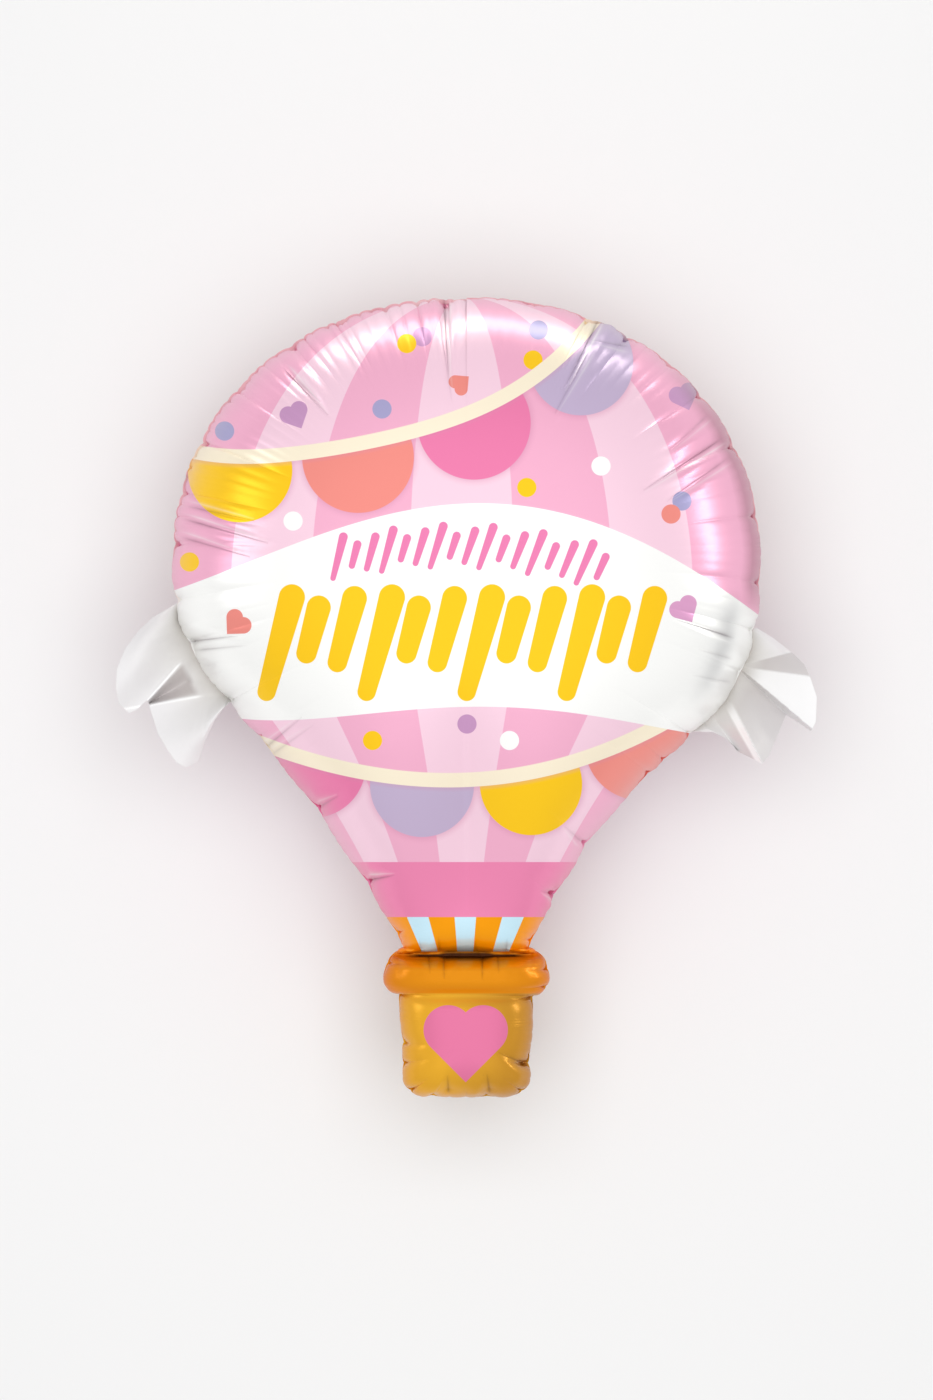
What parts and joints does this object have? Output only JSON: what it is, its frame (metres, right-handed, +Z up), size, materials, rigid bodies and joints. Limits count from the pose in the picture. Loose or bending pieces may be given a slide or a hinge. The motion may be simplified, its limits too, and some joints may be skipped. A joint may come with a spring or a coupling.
{
  "type": "foil balloon",
  "caption": "Inflated foil balloon with the outline of a hot-air balloon, lying on its back: a round envelope, a small basket under it and a film tail on each side.",
  "frame": {"origin": "middle of the plan's bounding box, on the surface that the balloon lies on", "axes": "+Y towards the crown of the envelope, the basket towards -Y; +Z up, the way the printed front faces; +X to the right of someone who looks down at the front with the crown ahead"},
  "size_m": [0.889, 1.0161, 0.3897],
  "materials": {
    "printed_foil": "printed metallised film with a pearly gloss, puckered at the seams",
    "white_film": "thin white pearly film, pleated and creased"
  },
  "bodies": {
    "root": {"balloon": "printed_foil", "banner_tail_left": "white_film", "banner_tail_right": "white_film"}
  },
  "joints": []
}
